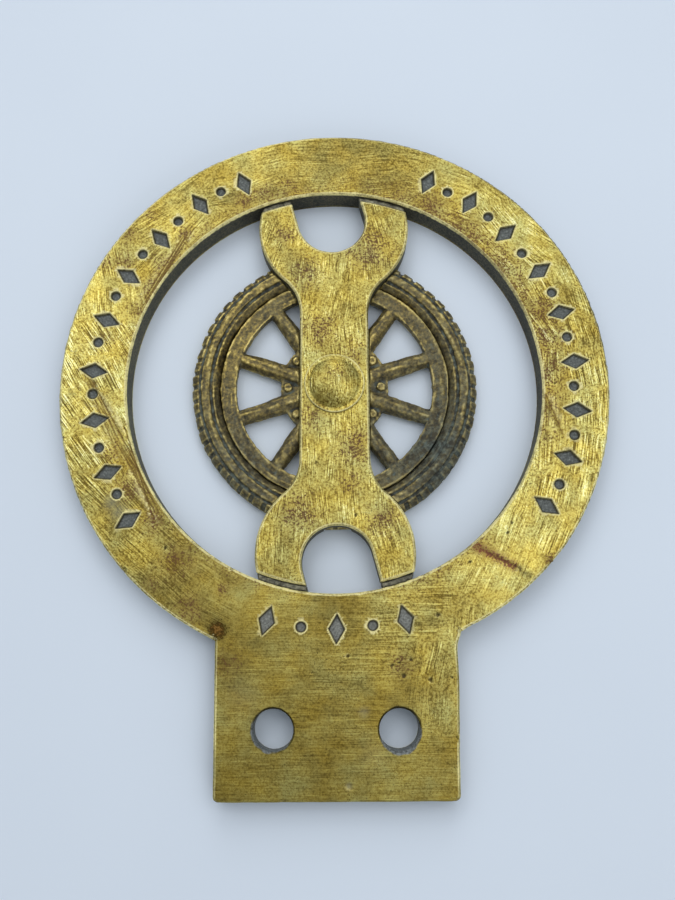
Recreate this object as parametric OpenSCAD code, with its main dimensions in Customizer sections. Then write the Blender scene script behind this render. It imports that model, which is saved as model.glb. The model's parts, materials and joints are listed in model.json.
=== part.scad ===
// Brass motoring club car badge: a flat ring on a mounting tab, with an open-work
// emblem of a spanner lapped over a spoked road wheel. Millimetres.
// The badge lies on its back: +Z points out of the front face and +Y from the tab
// to the ring. The origin is midway between the two fixing holes, on the back face.

/* [Ring] */
// Outside diameter of the ring
ring_d = 95; // [88:0.5:104]
// Diameter of the opening in the ring
opening_d = 71.8; // [68:0.2:75]
// Thickness of the ring and the tab
plate_t = 4.8; // [4.2:0.1:6.5]
// Width of the filed bevel round the front face
edge_break = 0.3; // [0.2:0.1:0.8]

/* [Mounting tab] */
// Width of the tab below the ring
tab_w = 38.8; // [34:0.2:46]
// Width of the tab's tongue where it reaches the opening
tongue_w = 34; // [28:0.5:37]
// Radius on the two bottom corners of the tab
tab_corner_r = 0.9; // [0.4:0.1:3]
// Diameter of the two fixing holes
hole_d = 6.5; // [5:0.1:8]
// Distance between the centres of the fixing holes
hole_pitch = 20.2; // [16:0.2:23]
// Depth of the bevel at the mouth of each fixing hole
hole_bevel = 0.3; // [0.2:0.05:1]
// Height of the hole centres above the bottom edge of the tab
hole_edge = 10.8; // [8:0.2:16]
// Depth of the hole centres below the lowest point of the ring
hole_drop = 9.8; // [6:0.2:16]
// Thickness of the brazed seams between the tongue and the ring
braze_t = 0.3; // [0.2:0.05:0.6]

/* [Spanner] */
// Width of the shank
shank_w = 12; // [9:0.5:15]
// Radius of the round head at each end
head_r = 13.4; // [12:0.2:15]
// Distance from each head's centre to the wall of the opening
head_set = 6.6; // [5:0.2:8]
// Radius of the fillets between the shank and the heads
neck_r = 8; // [4:0.5:12]
// Width of the jaw's mouth
mouth_w = 12; // [9:0.5:14]
// Depth of the mouth behind the head's centre
mouth_back = 4.6; // [2:0.2:6]
// Slant of the mouths to the shank, in degrees
mouth_slant = 15; // [0:1:20]
// Width of the bevel round the front of the spanner
spanner_break = 0.3; // [0.2:0.1:0.8]
// Distance that the emblem stands off the back face
back_gap = 0.8; // [0.4:0.1:1.4]

/* [Road wheel] */
// Outside diameter of the tyre
wheel_d = 50; // [44:0.5:54]
// Width of the tyre's section
tyre_w = 5; // [3.5:0.1:6]
// Height of the top of the tyre above its back
tyre_h = 2.9; // [2.2:0.1:3.2]
// Rise of the tyre's rounded crown above its sides
tyre_crown = 2; // [0.8:0.1:2]
// Depth of the two grooves round the tyre
groove_depth = 0.45; // [0.2:0.05:0.7]
// Width of the rim inside the tyre
felloe_w = 2.8; // [2:0.1:4]
// Height of the rim above the floor of the lap
felloe_lip = 0.5; // [0.2:0.1:1]
// Number of spokes
spoke_count = 10; // [8:2:14]
// Thickness of a spoke at the hub
spoke_root_d = 3.6; // [2.6:0.1:4]
// Thickness of a spoke at the rim
spoke_tip_d = 2.6; // [2:0.1:3.4]
// Radius of the hub's flange
hub_r = 9.4; // [8:0.1:10.5]
// Height of the hub's flange above the floor of the lap
hub_lip = 0.2; // [0.1:0.1:0.6]
// Radius of the bolt heads round the hub's flange
hub_bolt_r = 0.75; // [0.5:0.05:0.9]
// Height of the bolt heads above the flange
hub_bolt_h = 0.5; // [0.3:0.1:0.8]
// Height of the lap between spanner and wheel above the emblem's back
lap_h = 1.4; // [1:0.1:1.8]

/* [Hub cap] */
// Radius of the cap's rim
cap_r = 5.2; // [3.5:0.1:5.8]
// Height of the cap's rim
cap_rim_h = 0.5; // [0.3:0.1:1]
// Height of the cap's dome above its rim
cap_dome_h = 1.1; // [0.6:0.1:2]
// Width of the step between the rim and the dome
cap_step = 0.7; // [0.4:0.1:1.2]

/* [Solder] */
// Width of the soldered joint between a jaw and the ring
solder_w = 1; // [0.5:0.1:1.5]
// Depth of the solder below the front face
solder_sink = 0.8; // [0.3:0.1:1.5]
// Thickness of the solder film in the lap joint
film_t = 0.12; // [0.08:0.02:0.2]
// Clearance between lapped pieces
lap_gap = 0.1; // [0.05:0.01:0.2]

/* [Hidden] */
$fn = 96;

brass = "goldenrod";
aged_brass = "darkgoldenrod";
dark_bronze = "saddlebrown";
solder_grey = "dimgray";

// How far a cutting solid runs past the faces that it cuts
overrun = 1;

ring_r = ring_d / 2;
opening_r = opening_d / 2;
ring_y = ring_r + hole_drop;              // centre of the ring above the holes
tab_bottom = -hole_edge;
shoulder_y = ring_y - sqrt(ring_r^2 - (tab_w / 2)^2);
tongue_y = ring_y - sqrt(opening_r^2 - (tongue_w / 2)^2);
tongue_lean = (tab_w - tongue_w) / 2 / (tongue_y - shoulder_y);
tongue_reach = 4;                         // tongue blank runs on into the opening

jaw_r = opening_r - solder_w;             // arc that the jaw tips are cut to
head_y = opening_r - head_set;            // centre of a head from the ring's centre
neck_x = shank_w / 2 + neck_r;            // centre of a neck fillet
neck_y = head_y - sqrt((head_r + neck_r)^2 - neck_x^2);
mouth_r = mouth_w / 2;
mouth_y = mouth_r - mouth_back;           // centre of a mouth's round, from the head's
emblem_t = plate_t - back_gap;

wheel_r = wheel_d / 2;
felloe_r = wheel_r - tyre_w;              // joint between the tyre and the rim
felloe_h = lap_h + felloe_lip;
hub_h = lap_h + hub_lip;
spoke_end_r = felloe_r - felloe_w / 2;
hub_bolt_ring = hub_r - hub_bolt_r - 0.5;
lap_z = back_gap + lap_h;                 // floor of the channel across the wheel

// Puts the emblem's own frame, centred in the opening, into the badge's frame
module at_ring_centre() {
    translate([0, ring_y, 0]) children();
}

// Section of the ring, from its axis outwards, with both front edges bevelled
module ring_section() {
    polygon([
        [opening_r, 0],
        [ring_r, 0],
        [ring_r, plate_t - edge_break],
        [ring_r - edge_break, plate_t],
        [opening_r + edge_break, plate_t],
        [opening_r, plate_t - edge_break]
    ]);
}

// Tapered tongue and plate of the tab in plan, grown sideways by grow
module tab_plan(grow = 0) {
    top_y = tongue_y + tongue_reach;
    top_x = tongue_w / 2 - tongue_lean * tongue_reach + grow;
    side_x = tab_w / 2 + grow;
    polygon([
        [-side_x, tab_bottom], [side_x, tab_bottom],
        [side_x, shoulder_y], [top_x, top_y],
        [-top_x, top_y], [-side_x, shoulder_y]
    ]);
}

// Waste outside the round of one bottom corner, for a corner at the origin
module corner_waste() {
    difference() {
        translate([-overrun, -overrun]) square(tab_corner_r + overrun);
        translate([tab_corner_r, tab_corner_r]) circle(r = tab_corner_r);
    }
}

// Prism that takes a bevel off an edge along X at the front face
module bevel_prism(length, bevel = edge_break) {
    rotate([90, 0, 90])
        translate([0, 0, -length / 2])
            linear_extrude(length)
                polygon([
                    [-overrun, -bevel - overrun],
                    [bevel + overrun, overrun],
                    [-overrun, overrun]
                ]);
}

// Cone that takes a bevel off the rim of a round hole at the front face
module hole_bevel_cone(r, bevel) {
    translate([0, 0, plate_t - bevel])
        cylinder(r1 = r, r2 = r + bevel + overrun, h = bevel + overrun);
}

// Collar that takes a bevel off the rim of a round plate at the front face
module plate_bevel_collar(r, bevel) {
    translate([0, 0, plate_t - bevel])
        difference() {
            cylinder(r = r + overrun, h = bevel + overrun);
            cylinder(r1 = r, r2 = r - bevel - overrun, h = bevel + overrun);
        }
}

module ring() {
    color(brass)
    difference() {
        at_ring_centre() rotate_extrude() ring_section();
        translate([0, 0, -overrun])
            linear_extrude(plate_t + 2 * overrun) tab_plan(braze_t);
    }
}

module fixing_hole() {
    translate([0, 0, -overrun]) cylinder(d = hole_d, h = plate_t + 2 * overrun);
    hole_bevel_cone(hole_d / 2, hole_bevel);
}

module mounting_tab() {
    side_h = shoulder_y - tab_bottom;
    color(aged_brass)
    difference() {
        linear_extrude(plate_t)
            difference() {
                tab_plan();
                at_ring_centre() circle(r = opening_r);
                for (side = [-1, 1])
                    translate([side * tab_w / 2, tab_bottom])
                        mirror([side > 0 ? 1 : 0, 0]) corner_waste();
            }
        // Bevel along the opening, carried on from the ring
        at_ring_centre() hole_bevel_cone(opening_r, edge_break);
        // Bevels along the bottom edge and the two sides
        translate([0, tab_bottom, plate_t]) bevel_prism(tab_w + 2 * overrun);
        for (side = [-1, 1])
            translate([side * tab_w / 2, tab_bottom + side_h / 2, plate_t])
                rotate(side * 90) bevel_prism(side_h);
        for (side = [-1, 1])
            translate([side * hole_pitch / 2, 0, 0]) fixing_hole();
    }
}

// Brazed seam on one side, filling the gap between the tongue and the ring's end
module braze_seam(side) {
    color(aged_brass)
    intersection() {
        at_ring_centre() rotate_extrude() ring_section();
        linear_extrude(plate_t)
            difference() {
                tab_plan(braze_t);
                tab_plan();
            }
        translate([side * tab_w, ring_y - ring_r, 0])
            cube([2 * tab_w, 2 * ring_r, 4 * plate_t], center = true);
    }
}

// Triangle in plan between the shank, the upper head and a neck fillet's centre
module neck_triangle(reach = 1) {
    polygon([
        [0, head_y - reach * (head_y - neck_y)],
        [reach * neck_x, head_y - reach * (head_y - neck_y)],
        [0, head_y]
    ]);
}

// Fillet in plan between one side of the shank and the upper head
module neck_fillet(grow) {
    difference() {
        neck_triangle();
        translate([neck_x, neck_y]) circle(r = neck_r - grow);
    }
}

// Puts the upper mouth's own frame, centred on its round, into the emblem's frame
module at_mouth() {
    translate([0, head_y]) rotate(mouth_slant) translate([0, mouth_y]) children();
}

// Jaw's mouth in plan: parallel sides and a round bottom
module mouth() {
    circle(r = mouth_r);
    translate([-mouth_r, 0]) square([mouth_w, head_r + opening_r]);
}

// Whole spanner in plan before its jaws are cut to the opening, grown by grow
module spanner_plan(grow = 0) {
    difference() {
        union() {
            square([shank_w + 2 * grow, 2 * head_y], center = true);
            for (end = [0, 180])
                rotate(end) {
                    translate([0, head_y]) circle(r = head_r + grow);
                    for (side = [0, 1]) mirror([side, 0]) neck_fillet(grow);
                }
        }
        for (end = [0, 180])
            rotate(end) at_mouth() mouth();
    }
}

// Bevel of half the spanner's front edges, from the middle of the shank upwards
module upper_spanner_bevel() {
    mouth_side = head_r + opening_r;
    for (side = [0, 1])
        mirror([side, 0]) {
            translate([shank_w / 2, neck_y / 2, plate_t])
                rotate(90) bevel_prism(neck_y, spanner_break);
            intersection() {
                translate([neck_x, neck_y]) hole_bevel_cone(neck_r, spanner_break);
                linear_extrude(2 * plate_t) neck_triangle();
            }
        }
    difference() {
        translate([0, head_y]) plate_bevel_collar(head_r, spanner_break);
        for (side = [0, 1])
            mirror([side, 0]) linear_extrude(4 * plate_t) neck_triangle(2);
    }
    at_mouth() {
        hole_bevel_cone(mouth_r, spanner_break);
        for (side = [-1, 1])
            translate([side * mouth_r, mouth_side / 2, plate_t])
                rotate(-side * 90) bevel_prism(mouth_side, spanner_break);
    }
}

module spanner() {
    color(brass)
    at_ring_centre()
    difference() {
        translate([0, 0, back_gap])
            linear_extrude(emblem_t)
                intersection() {
                    spanner_plan();
                    circle(r = jaw_r);
                }
        // Pocket behind, where the spanner laps over the wheel
        cylinder(r = wheel_r + lap_gap, h = lap_z + film_t);
        for (end = [0, 180]) rotate(end) upper_spanner_bevel();
        plate_bevel_collar(jaw_r, spanner_break);
    }
}

// Channel that the spanner takes out of the wheel
module lap_channel() {
    translate([0, 0, lap_z])
        linear_extrude(emblem_t) spanner_plan(lap_gap);
}

// Section of the tyre: arched crown on straight sides, with two grooves
module tyre_section() {
    half_w = tyre_w / 2;
    mid_r = wheel_r - half_w;
    side_h = tyre_h - tyre_crown;
    crown_r = (half_w^2 + tyre_crown^2) / (2 * tyre_crown);
    groove_w = tyre_w / 10;
    groove_offset = tyre_w / 5;
    groove_floor = tyre_h - crown_r + sqrt(crown_r^2 - groove_offset^2) - groove_depth;
    translate([mid_r, back_gap])
        difference() {
            union() {
                translate([-half_w, 0]) square([tyre_w, side_h]);
                intersection() {
                    translate([0, tyre_h - crown_r]) circle(r = crown_r);
                    translate([-half_w, side_h]) square([tyre_w, tyre_crown]);
                }
            }
            for (side = [-1, 1])
                translate([side * groove_offset - groove_w / 2, groove_floor])
                    square([groove_w, tyre_h]);
        }
}

module tyre() {
    color(dark_bronze)
    at_ring_centre()
    difference() {
        rotate_extrude() tyre_section();
        lap_channel();
    }
}

// Tapered round spoke along +Y, cut flat on the emblem's back
module spoke() {
    length = spoke_end_r - hub_r / 2;
    axis_z = back_gap + spoke_tip_d / 4;
    intersection() {
        translate([0, hub_r / 2, axis_z])
            rotate([-90, 0, 0])
                cylinder(d1 = spoke_root_d, d2 = spoke_tip_d, h = length);
        translate([-spoke_root_d, 0, back_gap])
            cube([2 * spoke_root_d, felloe_r, spoke_root_d]);
    }
}

// Felloe, spokes and hub in one casting
module wheel_spider() {
    outer_r = felloe_r - lap_gap / 2;
    color(dark_bronze)
    at_ring_centre()
    difference() {
        union() {
            translate([0, 0, back_gap])
                difference() {
                    cylinder(r = outer_r, h = felloe_h);
                    translate([0, 0, -overrun])
                        cylinder(r = felloe_r - felloe_w, h = felloe_h + 2 * overrun);
                }
            translate([0, 0, back_gap]) cylinder(r = hub_r, h = hub_h);
            for (i = [0 : spoke_count - 1])
                rotate(i * 360 / spoke_count) spoke();
            for (i = [0 : spoke_count - 1])
                rotate((i + 0.5) * 360 / spoke_count)
                    translate([0, hub_bolt_ring, back_gap])
                        cylinder(r = hub_bolt_r, h = hub_h + hub_bolt_h);
        }
        lap_channel();
    }
}

// Solder film between the floor of the channel and the back of the spanner
module lap_solder() {
    color(solder_grey)
    at_ring_centre()
    translate([0, 0, lap_z])
        linear_extrude(film_t)
            intersection() {
                spanner_plan();
                union() {
                    difference() {
                        circle(r = wheel_r - tyre_w / 4);
                        circle(r = felloe_r - felloe_w);
                    }
                    circle(r = hub_r);
                }
            }
}

// Low domed cap on a plain rim, seated on the spanner over the hub
module hub_cap() {
    dome_base_r = cap_r - cap_step;
    dome_r = (dome_base_r^2 + cap_dome_h^2) / (2 * cap_dome_h);
    color(brass)
    at_ring_centre()
    translate([0, 0, plate_t]) {
        cylinder(r = cap_r, h = cap_rim_h);
        intersection() {
            translate([0, 0, cap_rim_h + cap_dome_h - dome_r]) sphere(r = dome_r);
            cylinder(r = dome_base_r, h = cap_rim_h + cap_dome_h + overrun);
        }
    }
}

// Solder between the tips of one jaw and the ring, sunk below the front face
module jaw_solder(end) {
    color(solder_grey)
    at_ring_centre()
    rotate(end)
    translate([0, 0, back_gap])
        linear_extrude(emblem_t - solder_sink)
            intersection() {
                spanner_plan();
                difference() {
                    circle(r = opening_r);
                    circle(r = jaw_r);
                }
                translate([-opening_r, 0]) square([opening_d, opening_r]);
            }
}

ring();
mounting_tab();
braze_seam(-1);  // left_braze_seam
braze_seam(1);  // right_braze_seam
spanner();
tyre();
wheel_spider();
lap_solder();
hub_cap();
jaw_solder(0);  // upper_jaw_solder
jaw_solder(180);  // lower_jaw_solder
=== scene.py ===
import json
import math
from functools import partial

import bmesh
import bpy
import numpy as np
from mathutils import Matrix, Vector


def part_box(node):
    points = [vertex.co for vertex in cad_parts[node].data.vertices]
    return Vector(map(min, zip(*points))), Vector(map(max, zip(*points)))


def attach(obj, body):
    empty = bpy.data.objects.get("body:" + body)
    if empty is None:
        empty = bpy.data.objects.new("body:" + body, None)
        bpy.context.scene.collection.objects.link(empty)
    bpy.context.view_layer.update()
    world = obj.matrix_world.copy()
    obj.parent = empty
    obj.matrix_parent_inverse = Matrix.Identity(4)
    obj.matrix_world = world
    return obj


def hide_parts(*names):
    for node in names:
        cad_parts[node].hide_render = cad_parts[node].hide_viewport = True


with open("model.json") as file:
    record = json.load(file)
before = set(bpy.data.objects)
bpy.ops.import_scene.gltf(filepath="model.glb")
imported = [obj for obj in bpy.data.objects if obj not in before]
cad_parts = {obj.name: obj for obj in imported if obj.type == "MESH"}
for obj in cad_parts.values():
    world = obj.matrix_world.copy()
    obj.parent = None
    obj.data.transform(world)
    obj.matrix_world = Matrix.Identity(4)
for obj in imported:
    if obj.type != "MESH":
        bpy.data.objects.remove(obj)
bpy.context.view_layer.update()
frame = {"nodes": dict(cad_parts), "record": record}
print("frame loaded:", len(frame["nodes"]), "nodes")

mm = 0.001
perMm = 1 / mm  # a texture scale of perMm / 3 repeats about every 3 mm


# Main sizes, read back from the frame, in mm from the ring's centre
def nodePoints(node):
    mesh = frame["nodes"][node].data
    points = np.empty(len(mesh.vertices) * 3)
    mesh.vertices.foreach_get("co", points)
    return points.reshape(-1, 3) / mm


wheelLow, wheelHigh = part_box("tyre")
ringY = (wheelLow.y + wheelHigh.y) / 2 / mm
fromCentre = np.array((0, ringY, 0))
tyreR = (wheelHigh.x - wheelLow.x) / 2 / mm
ringPoints = nodePoints("ring") - fromCentre
ringRadii = np.hypot(ringPoints[:, 0], ringPoints[:, 1])
ringR = ringRadii.max()
openingR = ringRadii.min()
midR = (ringR + openingR) / 2
plateT = ringPoints[:, 2].max()
edgeBreak = plateT - ringPoints[ringRadii > ringR - 0.001, 2].max()
tabPoints = nodePoints("mounting_tab") - fromCentre
tabHalf = tabPoints[:, 0].max()
tabBottom = tabPoints[:, 1].min()
cornerR = tabHalf - tabPoints[tabPoints[:, 1] < tabBottom + 0.001, 0].max()
fixing = next(m for m in frame["record"]["mounts"] if m["name"] == "fixing_holes")
holeX = fixing["dims"]["spacing_x_mm"] / 2
holeR = fixing["dims"]["hole_r_mm"]
print(f"ring {2 * ringR:.1f} mm, opening {2 * openingR:.1f} mm, plate {plateT:.1f} mm")


# Helpers for nodes
def hexColour(text):
    channels = [int(text[i:i + 2], 16) / 255 for i in (1, 3, 5)]
    linear = [c / 12.92 if c <= 0.04045 else ((c + 0.055) / 1.055) ** 2.4 for c in channels]
    return (*linear, 1)


def addNode(tree, kind, settings=None, links=None):
    # a link comes from a node or a socket, or is one flat colour as hex text
    node = tree.nodes.new("ShaderNode" + kind)
    for key, value in (settings or {}).items():
        if key == "stops":
            ramp = node.color_ramp.elements
            ramp.remove(ramp[1])
            ramp[0].position = value[0][0]
            ramp[0].color = hexColour(value[0][1])
            for at, colour in value[1:]:
                ramp.new(at).color = hexColour(colour)
        elif key in ("From", "To"):  # both ends of a range
            node.inputs[key + " Min"].default_value = value[0]
            node.inputs[key + " Max"].default_value = value[1]
        elif isinstance(key, int) or key in node.inputs:
            node.inputs[key].default_value = value
        else:
            setattr(node, key, value)
    for key, source in (links or {}).items():
        if isinstance(source, str):
            node.inputs[key].default_value = hexColour(source)
        else:
            socket = source.outputs[0] if hasattr(source, "outputs") else source
            tree.links.new(socket, node.inputs[key])
    return node


def startMaterial(name):
    material = bpy.data.materials.new(name)
    material.use_nodes = True
    material.node_tree.nodes.clear()
    add = partial(addNode, material.node_tree)
    return material, add, add("TexCoord").outputs["Object"]


# Helpers for meshes
def joined(nodes, name):
    # a copy of the solids as one object
    mesh = bpy.data.meshes.new(name)
    shell = bmesh.new()
    for node in nodes:
        shell.from_mesh(frame["nodes"][node].data)
    bmesh.ops.remove_doubles(shell, verts=shell.verts, dist=0.001 * mm)
    shell.to_mesh(mesh)
    shell.free()
    piece = bpy.data.objects.new(name, mesh)
    bpy.context.scene.collection.objects.link(piece)
    return piece


def remade(nodes, name, cell):
    # an even grid over the solids
    piece = joined(nodes, name)
    grid = piece.modifiers.new("grid", "REMESH")
    grid.mode = "VOXEL"
    grid.voxel_size = cell * mm
    return settled(piece)


def snugged(piece, nodes):
    # pulls the grid's points on to the solids' surface
    solid = joined(nodes, piece.name + "_solid")
    snug = piece.modifiers.new("snug", "SHRINKWRAP")
    snug.wrap_method = "NEAREST_SURFACEPOINT"
    snug.target = solid
    settled(piece)
    bpy.data.objects.remove(solid)
    return piece


def settled(piece):
    # the modifiers' result becomes the mesh
    shown = piece.evaluated_get(bpy.context.evaluated_depsgraph_get())
    piece.data = bpy.data.meshes.new_from_object(shown)
    piece.modifiers.clear()
    piece.data.materials.clear()
    piece.data.shade_smooth()
    return piece


def eased(piece, rounds):
    # corners soften the way filing and wear soften them
    ease = piece.modifiers.new("ease", "SMOOTH")
    ease.factor = 0.5
    ease.iterations = rounds
    return settled(piece)


def refined(piece, wanted):
    # cuts the faces in four whose middle and normal pass the test
    shell = bmesh.new()
    shell.from_mesh(piece.data)
    middles = np.array([face.calc_center_median() for face in shell.faces]) / mm - fromCentre
    normals = np.array([face.normal for face in shell.faces])
    shell.faces.ensure_lookup_table()
    edges = {edge for i in np.flatnonzero(wanted(middles, normals)) for edge in shell.faces[i].edges}
    bmesh.ops.subdivide_edges(shell, edges=list(edges), cuts=1, use_grid_fill=True)
    bmesh.ops.triangulate(shell, faces=[face for face in shell.faces if len(face.verts) > 4])
    shell.to_mesh(piece.data)
    shell.free()
    return piece


def readPoints(piece):
    count = len(piece.data.vertices)
    points = np.empty(count * 3)
    normals = np.empty(count * 3)
    piece.data.vertices.foreach_get("co", points)
    piece.data.vertices.foreach_get("normal", normals)
    return points.reshape(-1, 3) / mm - fromCentre, normals.reshape(-1, 3)


def writePoints(piece, points):
    piece.data.vertices.foreach_set("co", ((points + fromCentre) * mm).ravel())
    piece.data.update()


def paint(piece, name, values):
    layer = piece.data.attributes.new(name, "FLOAT", "POINT")
    layer.data.foreach_set("value", np.clip(values, 0, 1).astype(np.float32))


def smoothStep(low, high, values):
    t = np.clip((values - low) / (high - low), 0, 1)
    return t * t * (3 - 2 * t)


def fade(gaps, reach, power=2):
    # 1 where the gap is nought, soft to 0 beyond the reach
    return np.exp(-(gaps / reach) ** power)


def ripple(points, seed, shortest, longest, waves=24):
    # sum of random sine waves, about -1 to 1
    draw = np.random.default_rng(seed)
    total = np.zeros(len(points))
    for _ in range(waves):
        direction = draw.normal(size=points.shape[1])
        direction /= np.linalg.norm(direction)
        size = draw.uniform(shortest, longest)
        total += np.sin(points @ direction * (2 * np.pi / size) + draw.uniform(0, 2 * np.pi))
    return total / math.sqrt(2 * waves)


def bulge(piece, points, normals, rounds):
    # how far each point stands out of its averaged surroundings, in mm: ridges up, hollows down
    edges = np.empty(len(piece.data.edges) * 2, dtype=np.int64)
    piece.data.edges.foreach_get("vertices", edges)
    first, second = edges.reshape(-1, 2).T
    total = len(points)
    degree = np.bincount(first, minlength=total) + np.bincount(second, minlength=total)
    average = points.copy()
    for _ in range(rounds):
        for axis in range(3):
            column = average[:, axis]
            near = np.bincount(first, weights=column[second], minlength=total)
            near += np.bincount(second, weights=column[first], minlength=total)
            average[:, axis] = (column + near / degree) / 2
    return ((points - average) * normals).sum(1)


def alongLine(points, start, end):
    # share of the way along a line, and the distance from it
    start = np.array(start)
    line = np.array(end) - start
    share = np.clip(((points[:, :2] - start) @ line) / (line @ line), 0, 1)
    return share, np.linalg.norm(points[:, :2] - start - share[:, None] * line, axis=1)


def spread(points, spots):
    # soft round spots: x, y, radius, strength
    field = np.zeros(len(points))
    for x, y, radius, strength in spots:
        gap = np.hypot(points[:, 0] - x, points[:, 1] - y)
        field = np.maximum(field, strength * fade(gap, radius))
    return field


def strips(points, lines):
    # soft straight strips: start, end, half width, strength
    field = np.zeros(len(points))
    for start, end, halfWidth, strength in lines:
        gap = alongLine(points, start, end)[1]
        field = np.maximum(field, strength * fade(gap, halfWidth))
    return field


# Punched border of lozenges and pellets
border = {
    "seed": 5,
    "runs": [(214, 113, 9), (66, -31, 9), (254, 286, 3)],  # degrees from +X, lozenges
    "lozenge": (2.35, 1.3),  # half length along the radius, half width
    "pellet": 0.8,
    "depth": 0.6,
    "wall": 0.13,  # half width of the sloping wall
    "lip": 0.03,  # height of the metal thrown up round a punch
    "lipWidth": 0.2,
    "slip": 0.35,  # how far the hand wandered, in mm
    "twist": 6,  # and in degrees
    "fine": 0.4,  # the mesh is finer this close to an outline
}


def punchMarks():
    draw = np.random.default_rng(border["seed"])
    marks = []
    for start, end, count in border["runs"]:
        for i in range(2 * count - 1):
            angle = math.radians(start + (end - start) * i / (2 * count - 2))
            radius = midR + draw.uniform(-1, 1) * border["slip"]
            slide = draw.uniform(-1, 1) * border["slip"] / radius
            twist = math.radians(draw.uniform(-1, 1) * border["twist"])
            marks.append({
                "x": radius * math.cos(angle + slide),
                "y": radius * math.sin(angle + slide),
                "turn": angle + twist,
                "lozenge": i % 2 == 0,
                "depth": border["depth"] * draw.uniform(0.75, 1.1),
            })
    return marks


def fromPunch(points):
    # distance from the nearest punch mark's outline, inside below zero, and that mark's depth
    outside = np.full(len(points), border["lozenge"][0] * 2)
    depth = np.zeros(len(points))
    reach = border["lozenge"][0] + 1
    for mark in punchMarks():
        dx = points[:, 0] - mark["x"]
        dy = points[:, 1] - mark["y"]
        near = np.flatnonzero((abs(dx) < reach) & (abs(dy) < reach))
        along = dx[near] * math.cos(mark["turn"]) + dy[near] * math.sin(mark["turn"])
        across = dy[near] * math.cos(mark["turn"]) - dx[near] * math.sin(mark["turn"])
        if mark["lozenge"]:
            a, b = border["lozenge"]
            gap = (abs(along) / a + abs(across) / b - 1) * a * b / math.hypot(a, b)
        else:
            gap = np.hypot(along, across) - border["pellet"]
        nearer = gap < outside[near]
        outside[near[nearer]] = gap[nearer]
        depth[near[nearer]] = mark["depth"]
    return outside, depth


# File strokes cut deep enough to see as grooves: start and end in mm from the ring's centre. Each is drawn
# wider than a file's tooth cuts, so that it shows
deepStrokes = {
    "seed": 11,
    "bundles": [
        {"from": (-44, 3), "to": (-34.2, -14.7), "count": 10, "spread": 1, "hollow": (1.4, 0.05)},
        {"from": (-39, -6.5), "to": (-27.6, -24.5), "count": 12, "spread": 1.2, "hollow": (1.4, 0.05)},
        {"from": (36.1, -2), "to": (39.2, -10), "count": 2, "spread": 0.2, "hollow": (0.7, 0.06)},
        {"from": (23.6, -28.6), "to": (31, -32.5), "count": 2, "spread": 0.2, "hollow": (0.5, 0.01)},
        {"from": (-25.6, 29.8), "to": (-34.8, 12.8), "count": 6, "spread": 0.5, "hollow": (1.1, 0.04)},
    ],
    "halfWidth": (0.11, 0.18),
    "depth": (0.04, 0.1),
    "fullHollow": 0.05,  # mm, a hollow this deep hides most of the finer strokes
    "fine": 0.02,  # the mesh is finer where a stroke is deeper than this
}


def groove(points, start, end, width, depth):
    share, gap = alongLine(points, start, end)
    taper = np.sqrt(np.clip(4 * share * (1 - share), 0, 1))
    return depth * taper * fade(gap, width)


def strokeDepth(points):
    # depth of the wide hollows and of the strokes in them
    draw = np.random.default_rng(deepStrokes["seed"])
    hollow = np.zeros(len(points))
    down = np.zeros(len(points))
    for bundle in deepStrokes["bundles"]:
        hollow = np.maximum(hollow, groove(points, bundle["from"], bundle["to"], *bundle["hollow"]))
        for _ in range(bundle["count"]):
            start = np.array(bundle["from"]) + draw.normal(size=2) * bundle["spread"]
            end = np.array(bundle["to"]) + draw.normal(size=2) * bundle["spread"]
            width = draw.uniform(*deepStrokes["halfWidth"])
            depth = draw.uniform(*deepStrokes["depth"])
            down = np.maximum(down, groove(points, start, end, width, depth))
    return hollow, down


# Pits in the face, dark with old dirt: x, y, radius and depth, in mm from the ring's centre
pits = [
    (1.9, -46, 0.4, 0.1), (-3.9, -48.5, 0.3, 0.1), (10.8, -49.1, 0.6, 0.08), (15.1, -49.7, 0.45, 0.1),
    (16.7, -39.5, 0.35, 0.1), (18.6, -49.4, 0.3, 0.1), (22.2, -30.9, 0.4, 0.1), (29.5, -24.5, 0.3, 0.1),
    (28.7, -26.1, 0.35, 0.1), (38.1, -0.2, 0.3, 0.1), (-28.2, -28.3, 0.5, 0.1), (9, -47.4, 0.4, 0.08),
    (10.2, -47, 0.35, 0.08), (12.1, -46.6, 0.4, 0.08), (-13.2, 44.2, 0.3, 0.08), (5, 12.5, 0.3, 0.08),
    (-3.2, -14, 0.35, 0.08), (-4.6, 22, 0.3, 0.08), (3.4, -23, 0.4, 0.08),
]
# Knocks on the edges, rubbed clean
knocks = [
    (47.4, 3.6, 0.5, 0.2), (45.4, 14, 0.5, 0.2), (-46.6, -9.5, 0.6, 0.15), (25.2, 40.3, 0.4, 0.2),
    (-34.9, -31.9, 0.7, 0.15), (35.8, -30.8, 0.6, 0.2), (-8.4, -68.1, 0.5, 0.2), (19.4, -58.5, 0.5, 0.2),
    (1.9, -65.8, 0.6, 0.12),
]

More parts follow.
